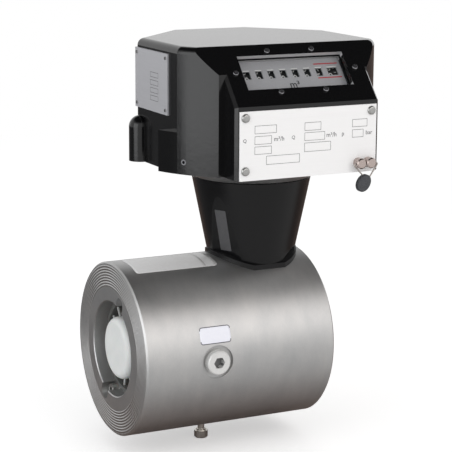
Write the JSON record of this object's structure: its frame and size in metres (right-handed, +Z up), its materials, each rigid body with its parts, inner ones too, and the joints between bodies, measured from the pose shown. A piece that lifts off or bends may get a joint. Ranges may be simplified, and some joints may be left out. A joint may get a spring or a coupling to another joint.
{
  "type": "turbine flow meter",
  "caption": "Wafer turbine gas flow meter for a pipe line: turned steel body with vaned inlet, conical neck and a black turning head with a roller counter.",
  "frame": {"origin": "centre of the inlet face, on the pipe axis", "axes": "+X along the flow from inlet to outlet, +Z up through the neck and the head, the name plate faces -Y"},
  "size_m": [0.1513, 0.135, 0.2398],
  "materials": {
    "turned_steel": "fine turned steel, satin",
    "stainless": "machined stainless steel",
    "zinc_screw": "bright zinc plated screws",
    "white_plastic": "white moulded acetal",
    "rotor_alloy": "machined light alloy",
    "magnet": "sintered magnet",
    "black_rubber": "black rubber ring",
    "black_satin": "satin black paint",
    "black_gloss": "gloss black paint on a casting",
    "grey_metal": "turned light alloy, satin",
    "glass": "clear flat glass",
    "dial_grey": "light grey dial with red lines",
    "roller_black": "black rollers with white digits",
    "brass": "turned brass",
    "plate_white": "thin plate, white satin",
    "plate_silver": "thin plate, silver satin",
    "copper_screw": "dull bronze screw heads",
    "wire": "tinned wire",
    "lead": "pressed dull lead",
    "frame_sheet": "stamped sheet frame",
    "under_steel": "dull steel"
  },
  "bodies": {
    "meter": {"meter_body": "turned_steel", "inlet_straightener": "white_plastic", "clamp_screws": "zinc_screw", "outlet_carrier": "grey_metal", "tail_cone": "grey_metal", "retaining_ring": "stainless", "bearing_shells": "stainless", "drive_bushes": "brass", "neck_seal": "black_rubber", "neck": "black_satin", "neck_screws": "zinc_screw", "separating_cup": "stainless", "neck_lock_screw": "zinc_screw", "pressure_plug": "stainless", "plug_seal": "brass", "under_screw": "under_steel"},
    "rotor": {"turbine_rotor": "rotor_alloy", "rotor_shaft": "stainless", "rotor_nut": "stainless", "bearing_inner_rings": "stainless"},
    "drive": {"crown_wheel": "brass", "drive_shaft": "stainless", "driving_magnet": "magnet"},
    "head": {"head_housing": "black_gloss", "head_base": "grey_metal", "base_screws": "zinc_screw", "socket_cap": "black_satin", "side_screws": "zinc_screw", "window_frame": "black_satin", "window_glass": "glass", "window_screws": "zinc_screw", "dial_plate": "dial_grey", "counter_frame": "frame_sheet", "counter_axles": "stainless", "name_plate": "plate_white", "plate_rivets": "zinc_screw", "seal_screws": "copper_screw", "side_plate": "plate_silver"},
    "worm_drive": {"worm_shaft": "stainless", "driven_magnet": "magnet"},
    "cross": {"cross_shaft": "stainless", "worm_wheel": "brass"},
    "idler": {"idler_gear": "brass"},
    "seal": {"seal_wire": "wire", "lead_seal": "lead"},
    "number_1": {"roller_1": "roller_black"},
    "number_2": {"roller_2": "roller_black"},
    "number_3": {"roller_3": "roller_black"},
    "number_4": {"roller_4": "roller_black"},
    "number_5": {"roller_5": "roller_black"},
    "number_6": {"roller_6": "roller_black"},
    "number_7": {"roller_7": "roller_black"},
    "number_8": {"roller_8": "roller_black"},
    "transfer_1": {"transfer_pinion_1": "brass"},
    "transfer_2": {"transfer_pinion_2": "brass"},
    "transfer_3": {"transfer_pinion_3": "brass"},
    "transfer_4": {"transfer_pinion_4": "brass"},
    "transfer_5": {"transfer_pinion_5": "brass"},
    "transfer_6": {"transfer_pinion_6": "brass"},
    "transfer_7": {"transfer_pinion_7": "brass"}
  },
  "joints": [
    {"name": "rotor_spin", "type": "hinge", "parent": "meter", "child": "rotor", "pos_m": [0.046, 0, 0], "axis": [1, 0, 0], "continuous": true},
    {"name": "drive_spin", "type": "hinge", "parent": "meter", "child": "drive", "pos_m": [0.0902, 0, 0.03], "axis": [0, 0, 1], "continuous": true},
    {"name": "head_turn", "type": "hinge", "parent": "meter", "child": "head", "pos_m": [0.0902, 0, 0.1], "axis": [0, 0, 1], "range_deg": [-170, 170]},
    {"name": "worm_spin", "type": "hinge", "parent": "head", "child": "worm_drive", "pos_m": [0.0902, 0, 0.1], "axis": [0, 0, 1], "continuous": true},
    {"name": "cross_spin", "type": "hinge", "parent": "head", "child": "cross", "pos_m": [0.0902, -0.016, 0.1387], "axis": [1, 0, 0], "continuous": true},
    {"name": "idler_spin", "type": "hinge", "parent": "head", "child": "idler", "pos_m": [0.1232, -0.02715, 0.14596], "axis": [1, 0, 0], "continuous": true},
    {"name": "number_8_spin", "type": "hinge", "parent": "head", "child": "number_8", "pos_m": [0.0902, -0.04064, 0.15474], "axis": [1, 0, 0], "continuous": true},
    {"name": "number_7_spin", "type": "hinge", "parent": "head", "child": "number_7", "pos_m": [0.0902, -0.04064, 0.15474], "axis": [1, 0, 0], "continuous": true},
    {"name": "number_6_spin", "type": "hinge", "parent": "head", "child": "number_6", "pos_m": [0.0902, -0.04064, 0.15474], "axis": [1, 0, 0], "continuous": true},
    {"name": "number_5_spin", "type": "hinge", "parent": "head", "child": "number_5", "pos_m": [0.0902, -0.04064, 0.15474], "axis": [1, 0, 0], "continuous": true},
    {"name": "number_4_spin", "type": "hinge", "parent": "head", "child": "number_4", "pos_m": [0.0902, -0.04064, 0.15474], "axis": [1, 0, 0], "continuous": true},
    {"name": "number_3_spin", "type": "hinge", "parent": "head", "child": "number_3", "pos_m": [0.0902, -0.04064, 0.15474], "axis": [1, 0, 0], "continuous": true},
    {"name": "number_2_spin", "type": "hinge", "parent": "head", "child": "number_2", "pos_m": [0.0902, -0.04064, 0.15474], "axis": [1, 0, 0], "continuous": true},
    {"name": "number_1_spin", "type": "hinge", "parent": "head", "child": "number_1", "pos_m": [0.0902, -0.04064, 0.15474], "axis": [1, 0, 0], "continuous": true},
    {"name": "transfer_7_spin", "type": "hinge", "parent": "head", "child": "transfer_7", "pos_m": [0.0902, -0.04806, 0.14731], "axis": [1, 0, 0], "continuous": true},
    {"name": "transfer_6_spin", "type": "hinge", "parent": "head", "child": "transfer_6", "pos_m": [0.0902, -0.04806, 0.14731], "axis": [1, 0, 0], "continuous": true},
    {"name": "transfer_5_spin", "type": "hinge", "parent": "head", "child": "transfer_5", "pos_m": [0.0902, -0.04806, 0.14731], "axis": [1, 0, 0], "continuous": true},
    {"name": "transfer_4_spin", "type": "hinge", "parent": "head", "child": "transfer_4", "pos_m": [0.0902, -0.04806, 0.14731], "axis": [1, 0, 0], "continuous": true},
    {"name": "transfer_3_spin", "type": "hinge", "parent": "head", "child": "transfer_3", "pos_m": [0.0902, -0.04806, 0.14731], "axis": [1, 0, 0], "continuous": true},
    {"name": "transfer_2_spin", "type": "hinge", "parent": "head", "child": "transfer_2", "pos_m": [0.0902, -0.04806, 0.14731], "axis": [1, 0, 0], "continuous": true},
    {"name": "transfer_1_spin", "type": "hinge", "parent": "head", "child": "transfer_1", "pos_m": [0.0902, -0.04806, 0.14731], "axis": [1, 0, 0], "continuous": true},
    {"name": "seal_swing", "type": "hinge", "parent": "head", "child": "seal", "pos_m": [0.1249, -0.07324, 0.1121], "axis": [-1, 0, 0], "range_deg": [0, 150]}
  ],
  "couplings": [
    {"joint": "drive_spin", "follows": "rotor_spin", "ratio": 0.38462},
    {"joint": "worm_spin", "follows": "rotor_spin", "ratio": 0.38462},
    {"joint": "cross_spin", "follows": "rotor_spin", "ratio": -0.012821},
    {"joint": "idler_spin", "follows": "rotor_spin", "ratio": 0.009324},
    {"joint": "number_8_spin", "follows": "rotor_spin", "ratio": -0.008547},
    {"joint": "number_7_spin", "follows": "rotor_spin", "ratio": -0.0008547},
    {"joint": "number_6_spin", "follows": "rotor_spin", "ratio": -0.00008547},
    {"joint": "number_5_spin", "follows": "rotor_spin", "ratio": -0.000008547},
    {"joint": "number_4_spin", "follows": "rotor_spin", "ratio": -0.0000008547},
    {"joint": "number_3_spin", "follows": "rotor_spin", "ratio": -0.00000008547},
    {"joint": "number_2_spin", "follows": "rotor_spin", "ratio": -0.000000008547},
    {"joint": "number_1_spin", "follows": "rotor_spin", "ratio": -0.0000000008547},
    {"joint": "transfer_7_spin", "follows": "rotor_spin", "ratio": 0.0021368},
    {"joint": "transfer_6_spin", "follows": "rotor_spin", "ratio": 0.00021368},
    {"joint": "transfer_5_spin", "follows": "rotor_spin", "ratio": 0.000021368},
    {"joint": "transfer_4_spin", "follows": "rotor_spin", "ratio": 0.0000021368},
    {"joint": "transfer_3_spin", "follows": "rotor_spin", "ratio": 0.00000021368},
    {"joint": "transfer_2_spin", "follows": "rotor_spin", "ratio": 0.000000021368},
    {"joint": "transfer_1_spin", "follows": "rotor_spin", "ratio": 0.0000000021368}
  ]
}
